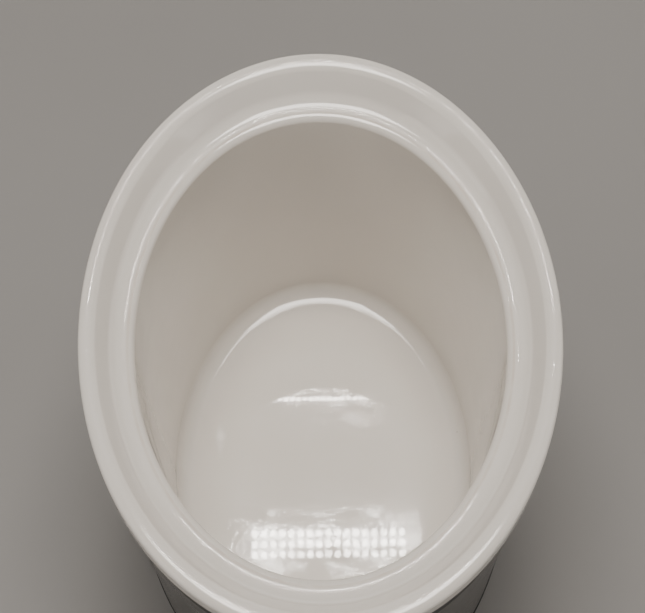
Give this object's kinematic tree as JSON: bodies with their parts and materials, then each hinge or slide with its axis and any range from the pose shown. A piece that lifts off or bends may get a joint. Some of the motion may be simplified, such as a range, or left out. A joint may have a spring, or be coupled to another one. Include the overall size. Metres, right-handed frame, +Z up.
{
  "type": "slow cooker",
  "caption": "Oval slow cooker: a glazed stoneware crock that lifts out of an electric heating base with end handles and a rotary control.",
  "frame": {"origin": "centre of the overall box's bottom face, on the table under the feet", "axes": "+X along the long axis to the right as seen from the control, +Y to the rear, +Z up"},
  "size_m": [0.336, 0.21, 0.208],
  "materials": {
    "glaze": "gloss white glaze",
    "moulded_black": "fine moulded grain",
    "black_stainless": "dark stainless, brushed round the base",
    "well_sheet": "drawn sheet",
    "glass_fibre": "woven glass-fibre tape",
    "zinc_steel": "zinc plated",
    "foil": "bright foil",
    "black_rubber": "matt",
    "plate_plastic": "satin",
    "white_print": "matt",
    "switch_body": "satin",
    "knob_plastic": "satin gloss",
    "amber_lens": "translucent",
    "lamp_glass": "clear",
    "brass_plated": "nickel-free brass",
    "wire_brown": "silicone",
    "wire_blue": "silicone",
    "wire_white": "silicone",
    "wire_red": "silicone",
    "wire_green": "silicone"
  },
  "bodies": {
    "base": {"base_pan": "moulded_black", "outer_shell": "black_stainless", "trim_ring": "moulded_black", "heating_well": "well_sheet", "heater_band": "glass_fibre", "band_straps": "zinc_steel", "strap_screws": "zinc_steel", "heat_reflector": "foil", "well_stud": "zinc_steel", "base_washer": "zinc_steel", "base_nut": "zinc_steel", "foot_front_left": "black_rubber", "foot_front_right": "black_rubber", "foot_rear_left": "black_rubber", "foot_rear_right": "black_rubber", "handle_left": "moulded_black", "handle_right": "moulded_black", "handle_screws": "zinc_steel", "control_plate": "plate_plastic", "dial_marks": "white_print", "rotary_switch": "switch_body", "switch_nut": "zinc_steel", "pilot_lens": "amber_lens", "pilot_lamp": "lamp_glass", "thermal_fuse": "glass_fibre", "fuse_clip": "zinc_steel", "power_inlet": "moulded_black", "inlet_pins": "brass_plated", "live_lead": "wire_brown", "fused_lead": "wire_brown", "neutral_lead": "wire_blue", "low_lead": "wire_white", "high_lead": "wire_red", "earth_lead": "wire_green"},
    "crock": {"crock": "glaze"},
    "knob": {"knob": "knob_plastic", "knob_pointer": "white_print", "switch_shaft": "switch_body"}
  },
  "joints": [
    {"name": "crock_lift", "type": "slide", "parent": "base", "child": "crock", "axis": [0, 0, 1], "range_m": [0, 0.2]},
    {"name": "knob_turn", "type": "hinge", "parent": "base", "child": "knob", "pos_m": [0, -0.0948, 0.028], "axis": [0, 1, 0], "range_deg": [0, 180]}
  ]
}
